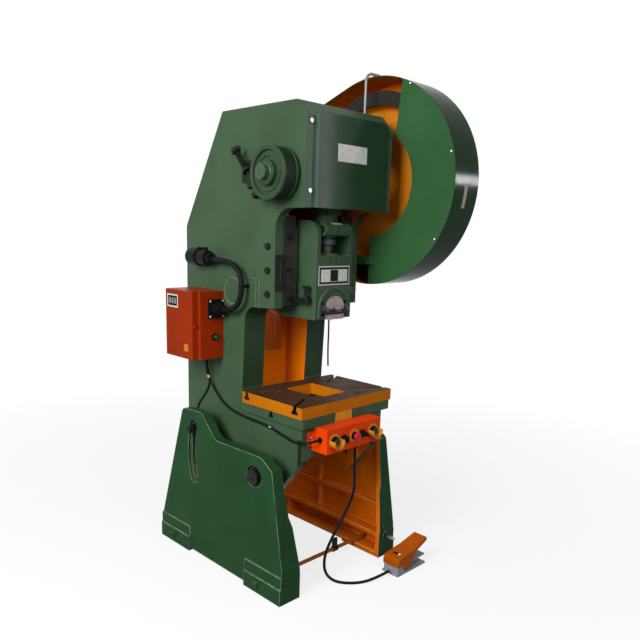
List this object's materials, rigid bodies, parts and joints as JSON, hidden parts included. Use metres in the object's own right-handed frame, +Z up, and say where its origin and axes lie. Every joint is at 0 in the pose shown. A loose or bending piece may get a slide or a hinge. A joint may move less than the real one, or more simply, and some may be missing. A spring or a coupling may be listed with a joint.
{
  "type": "mechanical stamping press",
  "caption": "Open-back inclinable power press: C-frame on two slotted legs, crank-driven slide, bolster, guarded flywheel, band brake, control boxes and foot switch.",
  "frame": {"origin": "on the floor, in the middle of the four anchor holes", "axes": "+X to the press's right, the flywheel side; +Y to the rear, away from the operator; +Z up"},
  "size_m": [0.847, 1.2398, 2.2063],
  "materials": {
    "green_paint": "gloss",
    "orange_paint": "satin",
    "red_paint": "gloss",
    "machined_steel": "ground",
    "dark_steel": "satin",
    "bright_steel": "satin",
    "black_steel": "blackened",
    "bronze": "machined",
    "lining": "matte",
    "motor_grey": "satin",
    "cover_metal": "gloss",
    "black_plastic": "matte",
    "green_plastic": "gloss",
    "yellow_plastic": "gloss",
    "red_plastic": "gloss",
    "rubber": "matte",
    "safety_orange": "satin"
  },
  "bodies": {
    "stand": {"left_leg": "green_paint", "right_leg": "green_paint", "tie_rods": "green_paint", "tie_rod_nuts": "dark_steel", "tie_rod_clamp": "black_steel", "foot_switch_base": "dark_steel", "foot_switch_hood": "safety_orange", "foot_cable": "rubber"},
    "control_door": {"control_door": "red_paint"},
    "flywheel": {"flywheel": "orange_paint"},
    "motor_rotor": {"motor_pulley": "dark_steel"},
    "crank": {"crankshaft": "bright_steel", "brake_drum": "green_paint"},
    "connecting_rod": {"connecting_rod": "machined_steel", "rod_clamp_bolt": "black_steel"},
    "slide": {"slide": "green_paint", "shank_clamp": "green_paint", "ball_socket": "dark_steel", "adjusting_screw": "bright_steel"},
    "left_palm": {"left_palm_button": "green_plastic"},
    "right_palm": {"right_palm_button": "green_plastic"},
    "estop": {"estop_button": "red_plastic"},
    "start": {"start_button": "green_plastic"},
    "selector": {"selector_knob": "black_plastic"},
    "key_switch": {"key_switch_knob": "bright_steel"},
    "pedal": {"foot_pedal": "dark_steel"},
    "press_body": {"frame": "green_paint", "tilt_bolts": "black_steel", "bolster": "machined_steel", "bolster_bolts": "black_steel", "gibs": "bronze", "gib_plates": "machined_steel", "gib_screws": "black_steel", "knockout_stops": "green_paint", "height_scale": "black_steel", "crank_bushes": "bronze", "brake_lining": "lining", "brake_band": "green_paint", "brake_rod": "bright_steel", "brake_bracket": "green_paint", "brake_spring": "black_steel", "v_belts": "rubber", "belt_guard": "green_paint", "guard_stay": "bright_steel", "motor": "motor_grey", "motor_bracket": "green_paint", "head_cover": "cover_metal", "cover_screws": "dark_steel", "control_box": "red_paint", "contactor_panel": "motor_grey", "box_socket": "black_plastic", "motor_plug": "black_plastic", "conduit": "rubber", "button_box": "red_paint", "cable_fittings": "black_plastic", "button_bezels": "black_plastic", "yellow_guards": "yellow_plastic", "panel_cable": "rubber", "branch_cable": "rubber", "switch_cable": "rubber"}
  },
  "joints": [
    {"name": "body_incline", "type": "hinge", "parent": "stand", "child": "press_body", "pos_m": [0, -0.264, 0.518], "axis": [-1, 0, 0], "range_deg": [0, 27]},
    {"name": "flywheel_turn", "type": "hinge", "parent": "press_body", "child": "flywheel", "pos_m": [0.355, -0.287, 1.748], "axis": [1, 0, 0], "continuous": true},
    {"name": "motor_turn", "type": "hinge", "parent": "press_body", "child": "motor_rotor", "pos_m": [0.355, 0.385, 1.85], "axis": [1, 0, 0], "continuous": true},
    {"name": "ram_stroke", "type": "slide", "parent": "press_body", "child": "connecting_rod", "axis": [0, 0, 1], "range_m": [-0.065, 0]},
    {"name": "crank_turn", "type": "hinge", "parent": "press_body", "child": "crank", "pos_m": [0, -0.287, 1.748], "axis": [1, 0, 0], "range_deg": [0, 180]},
    {"name": "die_height_adjust", "type": "slide", "parent": "connecting_rod", "child": "slide", "axis": [0, 0, 1], "range_m": [-0.055, 0]},
    {"name": "control_door_open", "type": "hinge", "parent": "press_body", "child": "control_door", "pos_m": [-0.378, 0.331, 1.109], "axis": [0, 0, -1], "range_deg": [0, 110]},
    {"name": "left_palm_press", "type": "slide", "parent": "press_body", "child": "left_palm", "axis": [0, 1, 0], "range_m": [0, 0.005], "stiffness_N_per_m": 600, "springref_m": -0.004},
    {"name": "right_palm_press", "type": "slide", "parent": "press_body", "child": "right_palm", "axis": [0, 1, 0], "range_m": [0, 0.005], "stiffness_N_per_m": 600, "springref_m": -0.004},
    {"name": "estop_press", "type": "slide", "parent": "press_body", "child": "estop", "axis": [0, 1, 0], "range_m": [0, 0.004]},
    {"name": "start_press", "type": "slide", "parent": "press_body", "child": "start", "axis": [0, 1, 0], "range_m": [0, 0.005], "stiffness_N_per_m": 600, "springref_m": -0.004},
    {"name": "selector_turn", "type": "hinge", "parent": "press_body", "child": "selector", "pos_m": [-0.096, -0.53, 0.694], "axis": [0, -1, 0], "range_deg": [-45, 45]},
    {"name": "key_turn", "type": "hinge", "parent": "press_body", "child": "key_switch", "pos_m": [0.018, -0.53, 0.694], "axis": [0, -1, 0], "range_deg": [0, 90]},
    {"name": "pedal_press", "type": "hinge", "parent": "stand", "child": "pedal", "pos_m": [0.242, -0.59, 0.036], "axis": [0, 1, 0], "range_deg": [0, 8], "stiffness_Nm_per_rad": 20, "springref_deg": -11.46}
  ],
  "couplings": [
    {"joint": "crank_turn", "follows": "ram_stroke", "rad_per_m": -48.332},
    {"joint": "motor_turn", "follows": "flywheel_turn", "ratio": 8.3002}
  ]
}
